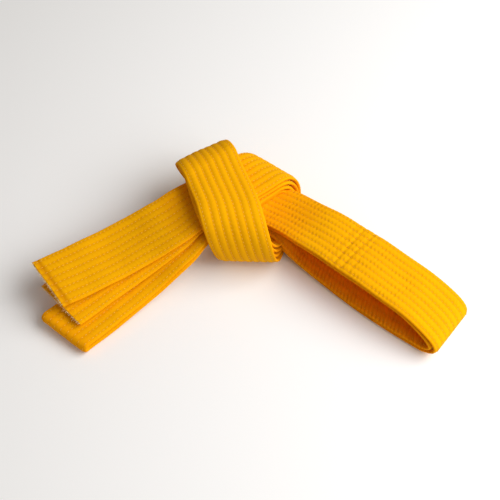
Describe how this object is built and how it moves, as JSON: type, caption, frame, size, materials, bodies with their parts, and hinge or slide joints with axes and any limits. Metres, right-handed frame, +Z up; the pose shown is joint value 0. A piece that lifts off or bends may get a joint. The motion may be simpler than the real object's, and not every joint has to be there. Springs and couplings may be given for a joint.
{
  "type": "martial arts belt",
  "caption": "Wide sewn cotton belt folded in four and tied in one flat overhand knot, with two free ends and a fold on one side and an open double loop on the other.",
  "frame": {"origin": "middle of the belt's footprint, on the ground that the belt lies on", "axes": "+X from the two cut ends to the tip of the loop, +Y away from the front, +Z up"},
  "size_m": [0.297, 0.1598, 0.0559],
  "materials": {
    "cover": "matt golden yellow cotton, plain weave, quilted by lengthwise rows of stitching",
    "core": "matt undyed cotton interlining",
    "thread": "soft-lustre pale yellow sewing thread"
  },
  "bodies": {
    "root": {"cotton_cover": "cover", "core_ply_1": "core", "core_ply_2": "core", "core_ply_3": "core", "needle_thread_1": "thread", "needle_thread_2": "thread", "needle_thread_3": "thread", "needle_thread_4": "thread", "needle_thread_5": "thread", "needle_thread_6": "thread", "needle_thread_7": "thread", "needle_thread_8": "thread", "bobbin_thread_1": "thread", "bobbin_thread_2": "thread", "bobbin_thread_3": "thread", "bobbin_thread_4": "thread", "bobbin_thread_5": "thread", "bobbin_thread_6": "thread", "bobbin_thread_7": "thread", "bobbin_thread_8": "thread"}
  },
  "joints": []
}
